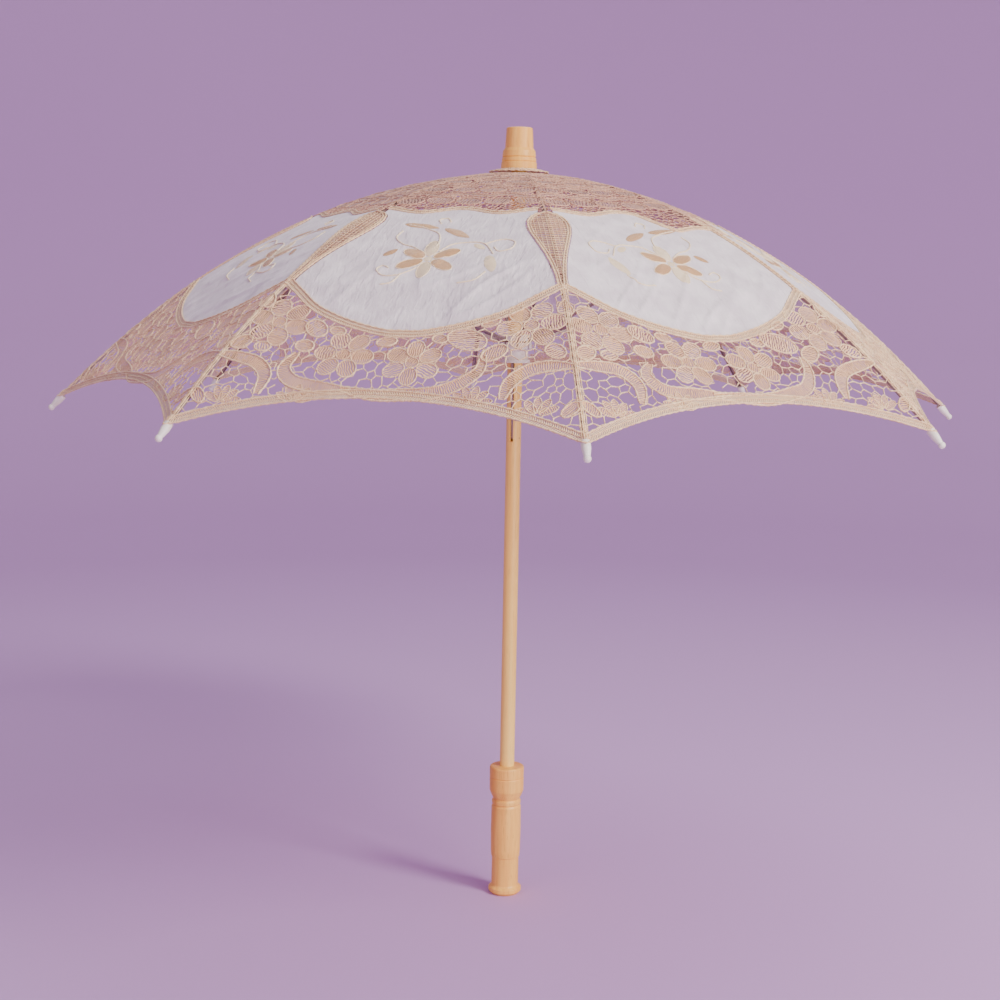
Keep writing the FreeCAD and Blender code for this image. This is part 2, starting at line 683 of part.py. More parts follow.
def make_frame():
    """The ribs, tips, rivets and stretchers, one of each for every rib."""
    makers = (("rib", rib_shape), ("rib_tip", tip_shape), ("joint_rivet", rivet_shape),
              ("stretcher", stretcher_shape))
    for name, maker in makers:
        shape = maker()
        for rib in range(1, RIBS + 1):
            keep(shaped(f"{name}_{rib}", shape), f"{name}_{rib}", azimuth(rib))


def make_canopy():
    """Two half gores for every rib, one on each side of it."""
    for side, word, turn in ((1, "right", HALF_GORE_DEG), (-1, "left", -HALF_GORE_DEG)):
        shape = half_gore_shape(-side)
        for rib in range(1, RIBS + 1):
            label = f"canopy_{word}_{rib}"
            keep(shaped(label, shape), label, azimuth(rib) + turn)


make_shaft()
make_catch()
make_handle()
make_cap()
make_rosette()
make_crown()
make_runner()
make_frame()
make_canopy()
doc.recompute()

for thing in doc.Objects:
    if "Invalid" in thing.State or "Error" in thing.State:
        raise RuntimeError(f"{thing.Name} failed: {thing.State}")
for piece in nodes:
    if piece.Shape.isNull() or not piece.Shape.isValid():
        raise RuntimeError(f"{piece.Label} has no valid shape")

os.makedirs("parts", exist_ok=True)
for piece in nodes:
    piece.Shape.exportStep(f"parts/{piece.Label}.step")
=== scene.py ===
"""A lace parasol with eight gores, on a pale sweep. Lengths inside the makers are millimetres."""

import math
import random

import bmesh
import bpy
import numpy as np
from mathutils import Matrix, Vector, noise
from mathutils.geometry import delaunay_2d_cdt


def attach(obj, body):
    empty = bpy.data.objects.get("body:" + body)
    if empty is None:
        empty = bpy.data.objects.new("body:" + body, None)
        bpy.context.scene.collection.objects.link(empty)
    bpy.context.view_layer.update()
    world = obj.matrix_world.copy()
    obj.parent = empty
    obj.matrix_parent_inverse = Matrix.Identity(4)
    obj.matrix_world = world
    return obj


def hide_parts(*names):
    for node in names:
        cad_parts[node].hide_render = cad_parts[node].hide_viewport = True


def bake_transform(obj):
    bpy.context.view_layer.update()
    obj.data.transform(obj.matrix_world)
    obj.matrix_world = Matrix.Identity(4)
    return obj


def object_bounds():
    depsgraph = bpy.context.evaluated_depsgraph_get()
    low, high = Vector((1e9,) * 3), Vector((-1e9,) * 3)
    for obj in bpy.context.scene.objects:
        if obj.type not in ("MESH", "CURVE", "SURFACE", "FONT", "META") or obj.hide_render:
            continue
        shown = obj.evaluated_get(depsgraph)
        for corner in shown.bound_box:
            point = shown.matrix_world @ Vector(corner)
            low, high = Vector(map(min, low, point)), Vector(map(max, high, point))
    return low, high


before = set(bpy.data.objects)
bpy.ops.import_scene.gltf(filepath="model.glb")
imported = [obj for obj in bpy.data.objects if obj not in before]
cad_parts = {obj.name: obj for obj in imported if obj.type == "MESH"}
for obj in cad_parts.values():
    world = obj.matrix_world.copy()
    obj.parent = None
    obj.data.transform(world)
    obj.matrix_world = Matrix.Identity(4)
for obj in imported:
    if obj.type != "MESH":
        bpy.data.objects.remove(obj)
cad_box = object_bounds()

MM = 0.001
RIBS = 8
HALF = math.pi / RIBS
SPAN = 400.0                  # shaft to the end of a rib's tip
CROWN_HEIGHT = 600.0          # grip's centre to the top of the canopy
SLOPE, BEND, FLARE = 0.0332, 0.4209, 0.0627   # how the canopy falls with the radius
HEM_AT_RIB = 393.0 * math.cos(HALF)
HEM_AT_MIDDLE = 370.0 * math.cos(HALF)
HEM_TAPE = 7.0                # widths of the two tapes
SCALLOP_TAPE = 6.0
TOP_TAPE = 4.0                # tape between the crown's lace and a panel
PLAIN_RIB = 2                 # the one rib without a teardrop on its seam
TEAR_TOP, TEAR_END = 171.0, 264.0   # the teardrops' net, measured along the gore
CUSP = 275.0                  # where two panels meet on a rib, measured along the gore
CORD = 0.78                   # radius of an outlining cord
BAR = 0.46                    # radius of a bar of the net
TIP_START = 416.0             # where the tips' sleeves start, measured along the gore
TIP_REACH = 7.0               # cloth on each side of a rib that rides up over its tip
TIP_RISE = 1.7
SUNK = 0.3                    # how far the drawing sits under the canopy's upper face
BEADED = 0.34                 # how much thicker and thinner a cord's beads are
FLOOR = cad_box[0][2]
PANEL, TAPED, CROWN_LACE = 2, 3, 4   # material slots of a gore's sheet, after the two satins


# ---------------------------------------------------------------- the gore's shape

radii = np.linspace(0.0, 402.0, 800)
shares = radii / SPAN
across_gore = radii * math.cos(HALF)
heights = CROWN_HEIGHT - SPAN * shares * (SLOPE + shares * (BEND + shares * FLARE))
steps = np.hypot(np.diff(across_gore), np.diff(heights))
lengths = np.concatenate([[0.0], np.cumsum(steps)])
tilts = np.arctan2(-np.gradient(heights), np.gradient(across_gore))


def out_at(length):
    """Distance from the shaft along the middle of a gore, for a length of cloth."""
    return np.interp(length, lengths, across_gore)


def length_at(out):
    return np.interp(out, across_gore, lengths)


def seam_at(length):
    """Half the width of the flat gore at a length."""
    return out_at(length) * math.tan(HALF)


def hem_at(v):
    """Length of cloth from the crown to the hem."""
    share = np.minimum(np.abs(v) / (HEM_AT_RIB * math.tan(HALF)), 1.0)
    return length_at(HEM_AT_MIDDLE + (HEM_AT_RIB - HEM_AT_MIDDLE) * share**2)


def middle_of(gore):
    """Direction of a gore's middle; gore g lies between rib g and the next rib."""
    return math.radians(-90.0 + (gore - 1) * 45.0) + HALF


def on_gore(gore, flat, lift=0.0):
    """Points of the flat gore, put on the open canopy, in metres."""
    flat = np.asarray(flat, float).reshape(-1, 2)
    middle = middle_of(gore)
    out = out_at(flat[:, 1])
    tilt = np.interp(flat[:, 1], lengths, tilts)
    from_rib = np.abs(seam_at(flat[:, 1]) - np.abs(flat[:, 0]))
    over_tip = np.clip((flat[:, 1] - TIP_START) / 5.0, 0.0, 1.0)
    lift = lift + TIP_RISE * over_tip * np.clip(1.0 - from_rib / TIP_REACH, 0.0, 1.0)
    out = out + lift * np.sin(tilt)
    z = np.interp(flat[:, 1], lengths, heights) + lift * np.cos(tilt)
    x = out * math.cos(middle) - flat[:, 0] * math.sin(middle)
    y = out * math.sin(middle) + flat[:, 0] * math.cos(middle)
    return np.column_stack([x, y, z]) * MM


# ---------------------------------------------------------------- shader maths

class Value:
    """A shader socket that takes part in sums."""

    def __init__(self, tree, socket):
        self.tree = tree
        self.socket = socket

    def maths(self, operation, *others):
        made = self.tree.nodes.new("ShaderNodeMath")
        made.operation = operation
        for place, other in enumerate((self, *others)):
            link(self.tree, other, made.inputs[place])
        return Value(self.tree, made.outputs[0])

    def __add__(self, other): return self.maths("ADD", other)
    def __radd__(self, other): return self.maths("ADD", other)
    def __mul__(self, other): return self.maths("MULTIPLY", other)
    def __rmul__(self, other): return self.maths("MULTIPLY", other)
    def __sub__(self, other): return self.maths("SUBTRACT", other)
    def __truediv__(self, other): return self.maths("DIVIDE", other)
    def __rsub__(self, other): return (self * -1.0) + other

    def fraction(self): return self.maths("FRACT")
    def size(self): return self.maths("ABSOLUTE")
    def sine(self): return self.maths("SINE")
    def least(self, other): return self.maths("MINIMUM", other)

    def between(self, low, high):
        """0 below low, 1 above high, smooth between."""
        made = self.tree.nodes.new("ShaderNodeMapRange")
        made.interpolation_type = "SMOOTHSTEP"
        link(self.tree, self, made.inputs["Value"])
        made.inputs["From Min"].default_value = low
        made.inputs["From Max"].default_value = high
        return Value(self.tree, made.outputs["Result"])


def link(tree, value, socket):
    if isinstance(value, Value):
        tree.links.new(value.socket, socket)
    else:
        socket.default_value = value


class Finish:
    """A material and the nodes that are added to it."""

    def __init__(self, name, roughness, **uniform):
        self.material = bpy.data.materials.new(name)
        self.material.use_nodes = True
        self.tree = self.material.node_tree
        self.shader = self.tree.nodes["Principled BSDF"]
        self.shader.inputs["Roughness"].default_value = roughness
        for socket, value in uniform.items():
            self.shader.inputs[socket.replace("_", " ")].default_value = value

    def node(self, kind, settings=None, out=0, **inputs):
        made = self.tree.nodes.new(kind)
        for name, value in (settings or {}).items():
            setattr(made, name, value)
        for name, value in inputs.items():
            link(self.tree, value, made.inputs[name.replace("_", " ")])
        return Value(self.tree, made.outputs[out])

    def place(self, kind="Object"):
        made = self.tree.nodes.new("ShaderNodeTexCoord")
        return Value(self.tree, made.outputs[kind])

    def scaled(self, place, scale):
        return self.node("ShaderNodeMapping", Vector=place, Scale=scale)

    def parts(self, place):
        made = self.tree.nodes.new("ShaderNodeSeparateXYZ")
        link(self.tree, place, made.inputs[0])
        return [Value(self.tree, socket) for socket in made.outputs]

    def speckle(self, place, scale, detail=3.0, roughness=0.55):
        return self.node("ShaderNodeTexNoise", Vector=place, Scale=scale, Detail=detail,
                         Roughness=roughness)

    def blend(self, share, first, second):
        made = self.tree.nodes.new("ShaderNodeMix")
        made.data_type = "RGBA"
        link(self.tree, share, made.inputs[0])
        link(self.tree, first, made.inputs[6])
        link(self.tree, second, made.inputs[7])
        return Value(self.tree, made.outputs[2])

    def bump(self, height, distance, strength=1.0):
        bumped = self.node("ShaderNodeBump", Height=height, Distance=distance, Strength=strength)
        self.use(Normal=bumped)

    def use(self, **sockets):
        for name, value in sockets.items():
            link(self.tree, value, self.shader.inputs[name.replace("_", " ")])


def colour(red, green, blue):
    """A colour as it looks on a screen, from 0 to 255, as the shader wants it."""
    return tuple(((c / 255.0 + 0.055) / 1.055) ** 2.4 for c in (red, green, blue)) + (1.0,)


ECRU_LIGHT = colour(255, 226, 176)
ECRU_DARK = colour(172, 128, 98)
CREAM = colour(246, 226, 190)
BEIGE = colour(182, 134, 84)
IVORY = colour(235, 225, 227)
IVORY_SHADE = colour(212, 200, 205)


def satin_finish(name, pitch, open_share, light, dark):
    """Parallel threads with gaps between them, laid along the UV map's second direction."""
    made = Finish(name, 0.5, Sheen_Weight=0.25, Sheen_Roughness=0.4)
    flat = made.place("UV")
    u, v, _ = made.parts(flat)
    wander = made.speckle(flat, 0.22, 2.0)
    thread = (u / pitch + wander * 1.8).fraction()
    ridge = 1.0 - (thread * 2.0 - 1.0).size()
    patches = made.speckle(flat, 0.35, 3.0)
    batch = made.speckle(flat, 0.045, 1.0)
    # Colour: painted highlight on each thread's crest and painted shade in the gaps between threads (the
    # ridge term), mixed with random tone from patches and batch.
    tone = (ridge * 0.6 + patches * 0.45 + batch * 0.75).between(0.45, 1.15)
    made.use(Base_Color=made.blend(tone, dark, light))
    worn = (ridge + patches * 0.5 - 0.25).between(open_share, open_share + 0.16)
    made.use(Alpha=worn)
    made.bump(ridge, 0.0005, 0.8)
    return made.material


def cord_finish(name, light, dark):
    """A tightly wound cord, with tiny loops standing off it."""
    made = Finish(name, 0.55, Sheen_Weight=0.3, Sheen_Roughness=0.4)
    place = made.place()
    wound = made.speckle(place, 900.0, 2.0)
    tone = (wound * 0.8 + made.speckle(place, 60.0, 2.0) * 0.4).between(0.35, 0.8)
    made.use(Base_Color=made.blend(tone, dark, light))
    made.bump(wound, 0.0006, 1.0)
    return made.material


def tape_finish(name):
    """A braided tape: a herringbone of threads, closed enough to read as a band."""
    made = Finish(name, 0.55, Sheen_Weight=0.25, Sheen_Roughness=0.4)
    flat = made.place("UV")
    u, v, _ = made.parts(flat)
    fold = (v / 3.5).size()
    thread = ((u + fold * 2.2) / 1.7).fraction()
    ridge = 1.0 - (thread * 2.0 - 1.0).size()
    patches = made.speckle(flat, 0.5, 3.0)
    # Colour: painted highlight on the crests of the herringbone's threads and painted shade between them
    # (the ridge term), mixed with random tone from patches.
    made.use(Base_Color=made.blend((ridge * 0.6 + patches * 0.55).between(0.2, 0.9), ECRU_DARK, ECRU_LIGHT))
    made.use(Alpha=(ridge + patches * 0.6 - 0.25).between(0.12, 0.3))
    made.bump(ridge, 0.0006, 0.9)
    return made.material


def cloth_finish():
    """Closely woven ivory cotton with a faint cloudy tone of its own, and slanting creases in its bump."""
    made = Finish("ivory_cotton", 0.72, Sheen_Weight=0.35, Sheen_Roughness=0.5)
    flat = made.place("UV")
    u, v, _ = made.parts(flat)
    warp = (u * (2.0 * math.pi / 0.9)).sine()
    weft = (v * (2.0 * math.pi / 0.9)).sine()
    weave = warp * weft
    cloudy = made.speckle(flat, 0.05, 4.0)
    made.use(Base_Color=made.blend(cloudy.between(0.3, 0.75), IVORY_SHADE, IVORY))
    slant = made.node("ShaderNodeMapping", Vector=flat, Rotation=(0.0, 0.0, 0.65), Scale=(0.11, 0.035, 0.1))
    creases = made.speckle(slant, 1.0, 3.0, 0.5)
    sharp = 1.0 - ((creases - 0.5).size() * 9.0).least(1.0)
    made.bump(weave * 0.02 + creases * 0.5 + sharp * 0.2, 0.002, 0.8)
    return made.material


def stitched_finish(name, light, dark):
    """Satin stitch: close, glossy threads without gaps."""
    made = Finish(name, 0.38, Sheen_Weight=0.2, Sheen_Roughness=0.3)
    flat = made.place("UV")
    u, v, _ = made.parts(flat)
    thread = (u / 0.8 + made.speckle(flat, 0.3, 2.0) * 0.8).fraction()
    ridge = 1.0 - (thread * 2.0 - 1.0).size()
    # Colour: painted highlight on each stitch's crest and painted shade between stitches (the ridge term),
    # mixed with random tone.
    tone = (ridge * 0.7 + made.speckle(flat, 0.6) * 0.5).between(0.1, 0.9)
    made.use(Base_Color=made.blend(tone, dark, light))
    made.bump(ridge, 0.0004, 0.8)
    return made.material


def wood_finish(name, light, dark, along, polish):
    """Pale turned wood with long, fine grain along the shaft and a clear coat."""
    made = Finish(name, polish, Coat_Roughness=0.3, Coat_Weight=0.1)
    place = made.place()
    grain = made.speckle(made.scaled(place, (260.0, 260.0, along)), 1.0, 4.0, 0.6)
    bands = made.speckle(made.scaled(place, (45.0, 45.0, along * 0.25)), 1.0, 2.0)
    pores = made.speckle(made.scaled(place, (1100.0, 1100.0, along * 6.0)), 1.0, 1.0)
    flecks = pores.between(0.60, 0.72)
    tone = (grain * 0.6 + bands * 0.55).between(0.35, 0.8)
    body = made.blend(tone, dark, light)
    pore_colour = tuple(c * 0.62 for c in dark[:3]) + (1.0,)
    made.use(Base_Color=made.blend(flecks * 0.35, body, pore_colour))
    made.use(Roughness=grain * 0.2 + (polish - 0.1))
    made.bump(grain * 0.4 - flecks * 0.3, 0.0003, 0.5)
    return made.material


def metal_finish(name, tint, roughness):
    """Drawn metal with fine length-wise scratches and a little tarnish."""
    made = Finish(name, roughness, Metallic=1.0)
    place = made.place()
    scratch = made.speckle(place, 1400.0, 2.0)
    tarnish = made.speckle(place, 55.0, 4.0).between(0.45, 0.75)
    dull = tuple(c * 0.6 for c in tint[:3]) + (1.0,)
    made.use(Base_Color=made.blend(tarnish * 0.6, tint, dull))
    made.use(Roughness=scratch * 0.2 + tarnish * 0.15 + (roughness - 0.12))
    made.bump(scratch, 0.0001, 0.4)
    return made.material


def plastic_finish(name, light, dark, roughness):
    """Moulded plastic with a faint skin texture and slight yellowing."""
    made = Finish(name, roughness)
    place = made.place()
    skin = made.speckle(place, 2200.0, 2.0)
    aged = made.speckle(place, 90.0, 3.0).between(0.35, 0.75)
    made.use(Base_Color=made.blend(aged, light, dark))
    made.use(Roughness=aged * 0.15 + roughness)
    made.bump(skin, 0.0001, 0.35)
    return made.material


# In the satin, tape and stitch finishes the light colour is also the painted highlight on the threads'
# crests, and the dark colour is also the painted shade between threads.
SATIN = satin_finish("lace_satin_threads", 1.6, 0.2, colour(240, 190, 140), colour(120, 78, 58))
OPEN_SATIN = satin_finish("lace_open_threads", 2.0, 0.36, colour(252, 206, 156), colour(128, 86, 64))
CROWN_SATIN = satin_finish("crown_lace_threads", 2.6, 0.14, colour(190, 140, 112), colour(112, 74, 60))
CROWN_CORDS = cord_finish("crown_lace_cord", colour(228, 178, 144), colour(160, 112, 86))
CORDS = cord_finish("lace_cord", ECRU_LIGHT, colour(204, 156, 118))
TAPE = tape_finish("lace_tape")
COTTON = cloth_finish()
CREAM_STITCH = stitched_finish("cream_satin_stitch", CREAM, ECRU_LIGHT)
BEIGE_STITCH = stitched_finish("beige_satin_stitch", colour(226, 180, 128), BEIGE)
SHAFT_WOOD = wood_finish("shaft_wood_finish", colour(255, 220, 118), colour(255, 202, 94), 9.0, 0.45)
TURNED_WOOD = wood_finish("turned_wood_finish", colour(255, 200, 96), colour(234, 162, 66), 14.0, 0.42)
STEEL = metal_finish("rib_steel", colour(176, 160, 148), 0.5)
BRASS = metal_finish("ring_brass", colour(212, 176, 104), 0.3)
HUB = plastic_finish("hub_plastic_finish", colour(236, 230, 214), colour(222, 212, 190), 0.42)
TIPS = plastic_finish("tip_plastic_finish", colour(238, 234, 222), colour(226, 218, 200), 0.38)

NODE_FINISH = {
    "shaft": SHAFT_WOOD, "handle": TURNED_WOOD, "top_cap": TURNED_WOOD,
    "crown": HUB, "runner": HUB, "crown_ring": BRASS, "runner_ring": BRASS,
    "stop_pin": STEEL, "catch_pin": STEEL, "spring_catch": STEEL,
}
for rib in range(1, RIBS + 1):
    NODE_FINISH[f"rib_{rib}"] = STEEL
    NODE_FINISH[f"stretcher_{rib}"] = STEEL
    NODE_FINISH[f"joint_rivet_{rib}"] = STEEL
    NODE_FINISH[f"rib_tip_{rib}"] = TIPS
for node, finish in NODE_FINISH.items():
    solid = bpy.data.objects[node]
    solid.data.materials.clear()
    solid.data.materials.append(finish)


# ---------------------------------------------------------------- flat drawing

def smooth_line(points, closed=False, step=2.0):
    """A smooth line through a few points, as evenly spaced points."""
    points = [np.array(p, float) for p in points]
    count = len(points)
    spans = count if closed else count - 1
    made = []
    for n in range(spans):
        if closed:
            p0, p1, p2, p3 = (points[(n + k - 1) % count] for k in range(4))
        else:
            p1, p2 = points[n], points[n + 1]
            p0 = points[n - 1] if n else 2 * p1 - p2
            p3 = points[n + 2] if n + 2 < count else 2 * p2 - p1
        pieces = max(2, int(np.linalg.norm(p2 - p1) / step))
        for t in np.arange(pieces) / pieces:
            made.append(0.5 * (2 * p1 + (p2 - p0) * t + (2 * p0 - 5 * p1 + 4 * p2 - p3) * t**2
                               + (3 * p1 - p0 - 3 * p2 + p3) * t**3))
    if not closed:
        made.append(points[-1])
    return np.array(made)


def oval(centre, long, wide, angle, point=0.0, count=22):
    """A petal's outline; point from 0, an oval, to 1, sharp at its outer end."""
    turn = np.linspace(0.0, 2.0 * math.pi, count, endpoint=False)
    x = np.cos(turn) * long / 2
    y = np.sin(turn) * wide / 2 * (1.0 - point * np.clip(np.cos(turn), 0, 1) ** 2 * 0.6)
    c, s = math.cos(angle), math.sin(angle)
    return np.column_stack([centre[0] + x * c - y * s, centre[1] + x * s + y * c])


def inside(points, outline):
    """Which points lie inside an outline."""
    points = np.asarray(points, float).reshape(-1, 2)
    found = np.zeros(len(points), bool)
    ends = np.roll(outline, -1, axis=0)
    for (x0, y0), (x1, y1) in zip(outline, ends):
        spans = (y0 > points[:, 1]) != (y1 > points[:, 1])
        if y0 == y1:
            continue
        crossing = x0 + (points[:, 1] - y0) * (x1 - x0) / (y1 - y0)
        found ^= spans & (points[:, 0] < crossing)
    return found


def edge_distance(points, outline):
    """How far each point is from an outline."""
    points = np.asarray(points, float).reshape(-1, 2)
    starts, ends = outline, np.roll(outline, -1, axis=0)
    best = np.full(len(points), 1e9)
    for a, b in zip(starts, ends):
        along = b - a
        squared = max(float(along @ along), 1e-12)
        t = np.clip((points - a) @ along / squared, 0, 1)
        best = np.minimum(best, np.linalg.norm(points - a - t[:, None] * along, axis=1))
    return best


def filled(outline, spacing):
    """Triangles that fill an outline, with points inside it."""
    outline = np.asarray(outline, float)
    low, high = outline.min(axis=0), outline.max(axis=0)
    grid = np.array([(x, y) for y in np.arange(low[1], high[1], spacing)
                     for x in np.arange(low[0], high[0], spacing)])
    if len(grid):
        grid = grid[inside(grid, outline)]
        grid = grid[edge_distance(grid, outline) > 0.45 * spacing] if len(grid) else grid
    points = [Vector(p) for p in outline] + [Vector(p) for p in grid]
    count = len(outline)
    edges = [(n, (n + 1) % count) for n in range(count)]
    found = delaunay_2d_cdt(points, edges, [], 1, 1e-5)
    return np.array([tuple(p) for p in found[0]]), [list(f) for f in found[2]]


def turned(points, angle):
    """The threads' own coordinates, for threads laid at an angle."""
    c, s = math.cos(angle), math.sin(angle)
    return np.column_stack([points[:, 0] * c + points[:, 1] * s, points[:, 1] * c - points[:, 0] * s])


def beside(path, offset):
    """A path moved to its left by an offset, which may change along it."""
    along = np.gradient(path, axis=0)
    along /= np.maximum(np.linalg.norm(along, axis=1), 1e-9)[:, None]
    return path + np.column_stack([-along[:, 1], along[:, 0]]) * np.reshape(offset, (-1, 1))


class Drawing:
    """Everything that is drawn on one flat gore, before it is put on the canopy."""

    def __init__(self, gore):
        self.gore = gore
        self.points, self.lifts, self.maps, self.faces, self.slots = [], [], [], [], []
        self.cords = []
        self.taken = []
        self.count = 0
        self.in_crown = False

    def patch(self, points, faces, slot, threads, lift=0.0):
        """Adds faces; threads are the UV map's coordinates in millimetres."""
        self.points.append(points)
        self.lifts.append(np.broadcast_to(lift, len(points)).astype(float))
        self.maps.append(threads)
        self.faces += [[n + self.count for n in face] for face in faces]
        self.slots += [slot] * len(faces)
        self.count += len(points)

    def fill(self, outline, slot, angle, spacing=4.0, lift=0.0):
        points, faces = filled(outline, spacing)
        self.patch(points, faces, slot, turned(points, angle), lift)

    def band(self, path, width, slot, lift=0.0, rows=2):
        """A tape along a path, with its middle on the path."""
        width = np.broadcast_to(width, len(path))
        run = np.concatenate([[0], np.cumsum(np.linalg.norm(np.diff(path, axis=0), axis=1))])
        shares = np.linspace(-0.5, 0.5, rows + 1)
        points = np.concatenate([beside(path, width * share) for share in shares])
        threads = np.concatenate([np.column_stack([run, width * share]) for share in shares])
        count = len(path)
        faces = [[r * count + n, r * count + n + 1, (r + 1) * count + n + 1, (r + 1) * count + n]
                 for r in range(rows) for n in range(count - 1)]
        self.patch(points, faces, slot, threads, lift)

    def cord(self, path, radius=CORD, closed=False, lift=0.0):
        self.cords.append((np.asarray(path, float), radius, closed, lift, self.in_crown))

    def motif(self, outline, slot, angle, lift=0.0, radius=CORD):
        """A filled shape with a cord round it, that the net stays out of."""
        self.fill(outline, slot, angle, 4.5, lift)
        self.cord(outline, radius, True, lift + 0.1)
        self.taken.append(outline)

    def scroll(self, points, width, slot=0, taper=0.35):
        """A tape that narrows at its ends, with a cord along each edge."""
        path = smooth_line(points, step=2.5)
        share = np.linspace(-1, 1, len(path))
        widths = width * (1.0 - (1.0 - taper) * np.abs(share) ** 3)
        self.band(path, widths, slot, 0.05)
        left, right = beside(path, widths / 2), beside(path, -widths / 2)
        self.cord(left, CORD, False, 0.15)
        self.cord(right, CORD, False, 0.15)
        self.taken.append(np.concatenate([left, right[::-1]]))

    def rosette(self, centre, reach, petals, turn, chance):
        """Round petals about a small oval."""
        self.motif(oval(centre, reach * 0.46, reach * 0.42, turn, count=14), 0, turn, 0.2, 0.5)
        for n in range(petals):
            angle = turn + 2.0 * math.pi * n / petals
            away = reach * (0.62 + chance.uniform(-0.03, 0.03))
            middle = (centre[0] + math.cos(angle) * away, centre[1] + math.sin(angle) * away)
            wide = 2.0 * away * math.sin(math.pi / petals) * 0.96
            self.motif(oval(middle, reach * 0.72, wide, angle), chance.choice((0, 0, 1)),
                       angle + chance.choice((0.0, math.pi / 2)), 0.1, 0.55)

    def fan(self, centre, reach, turn, chance):
        """A small flower of five narrow petals against the hem."""
        for n in range(5):
            angle = turn + (n - 2) * 0.6
            middle = (centre[0] + math.cos(angle) * reach * 0.6, centre[1] + math.sin(angle) * reach * 0.6)
            self.motif(oval(middle, reach, reach * 0.42, angle, count=14), 0, angle, 0.1, 0.45)

    def net(self, outline, spacing, chance, radius=BAR, kept=0.92):
        """Irregular bars over what is left of an area."""
        low, high = outline.min(axis=0), outline.max(axis=0)
        cells = []
        row = 0
        for y in np.arange(low[1] - spacing, high[1] + 2 * spacing, spacing * 0.87):
            row += 1
            for x in np.arange(low[0] - spacing, high[0] + 2 * spacing, spacing):
                shift = spacing / 2 * (row % 2)
                cells.append(Vector((x + shift + chance.uniform(-0.43, 0.43) * spacing,
                                     y + chance.uniform(-0.43, 0.43) * spacing)))
        found = delaunay_2d_cdt(cells, [], [], 0, 1e-5)
        corners = [np.array(tuple(p)) for p in found[0]]
        shared = {}
        for face in found[2]:
            middle = sum(corners[n] for n in face) / len(face)
            for a, b in zip(face, list(face[1:]) + [face[0]]):
                shared.setdefault((min(a, b), max(a, b)), []).append(middle)
        bars = [pair for pair in shared.values() if len(pair) == 2 and chance.random() < kept]
        share = np.linspace(0, 1, 12)[:, None]
        lines = np.array([a + (b - a) * share for a, b in bars])
        spots = lines.reshape(-1, 2)
        free = inside(spots, outline)
        for taken in self.taken:
            free &= ~inside(spots, taken)
        for line, open_here in zip(lines, free.reshape(len(lines), -1)):
            start = None
            for n in range(len(line) + 1):
                if n < len(line) and open_here[n]:
                    start = n if start is None else start
                elif start is not None:
                    first, last = max(start - 1, 0), min(n, len(line) - 1)
                    if last > first:
                        self.cord(np.array([line[first], line[last]]), radius)
                    start = None


# ---------------------------------------------------------------- the parts of a gore

def tear_width(length):
    """Half the width of a teardrop on a rib's seam."""
    return np.interp(length, (171, 174, 180, 188, 196, 206, 220, 235, 250, 264, 280),
                     (0.5, 8.0, 13.4, 16.6, 17.4, 16.4, 12.8, 8.8, 5.8, 4.0, 3.3))


def crown_edge(v, width, plain):
    """Where the crown's lace ends and the panel starts."""
    wave = 166.0 + 8.0 * np.sin(math.pi * np.abs(v) / width) ** 2
    rise = 24.0 * np.clip((v - 14.0) / 26.0, 0.0, 1.0) if plain > 0 else 0.0
    fall = 24.0 * np.clip((-v - 14.0) / 26.0, 0.0, 1.0) if plain < 0 else 0.0
    return wave + rise + fall


def panel_sides(plain):
    """The panel's top, sides and lower edge; plain says on which side the seam has no teardrop."""
    down = np.arange(TEAR_TOP + 2.0, CUSP - 2.0, 3.0)

    def side(sign):
        if plain == sign:
            lower = down[down > 196.0]
            return np.column_stack([sign * (seam_at(lower) - 2.5), lower])

        return np.column_stack([sign * (seam_at(down) - tear_width(down) - 1.6), down])
    right, left = side(1), side(-1)
    across = np.linspace(left[0, 0] + 1.5, right[0, 0] - 1.5, 40)
    top = np.column_stack([across, crown_edge(across, 64.0, plain)])
    cusp = float(seam_at(CUSP)) - 3.0
    lower = smooth_line([(cusp, CUSP), (cusp - 12, 287), (71, 305), (45, 319), (16, 328.5), (0, 329.5),
                         (-16, 328.5), (-45, 319), (-71, 305), (-cusp + 12, 287), (-cusp, CUSP)], step=3.0)
    return top, right, lower, left


def crease_lift(points, outline, seed):
    """Slack in the cloth: slanting creases that die out towards its edges."""
    distance = edge_distance(points, outline)
    lifts = np.zeros(len(points))
    for n, (x, y) in enumerate(points):
        slant = x * 0.80 + y * 0.60
        along = -x * 0.60 + y * 0.80
        fold = noise.noise(Vector((slant / 24.0, along / 95.0, seed * 7.3)))
        fine = noise.noise(Vector((slant / 11.0, along / 50.0, seed * 3.1 + 9.0)))
        broad = noise.noise(Vector((x / 60.0, y / 60.0, seed * 1.7)))
        ridge = max(0.0, 1.0 - abs(fold) / 0.20)
        small = max(0.0, 1.0 - abs(fine) / 0.22) * max(0.0, 0.5 + 1.5 * broad)
        lifts[n] = 1.5 * ridge * ridge * (3.0 - 2.0 * ridge) + 0.6 * small * small + 1.2 * broad
    lower = np.clip((points[:, 1] - 200.0) / 90.0, 0.25, 1.0)
    return lifts * np.clip(distance / 14.0, 0.0, 1.0) * lower


def plain_side(gore):
    """Which side of a gore has the seam without a teardrop, if any."""
    return 1 if gore == PLAIN_RIB - 1 else (-1 if gore == PLAIN_RIB else 0)


def panel_outline(gore):
    """The whole outline of the ivory panel."""
    top, right, lower, left = panel_sides(plain_side(gore))
    return np.concatenate([top, right, lower[1:-1], left[::-1]])


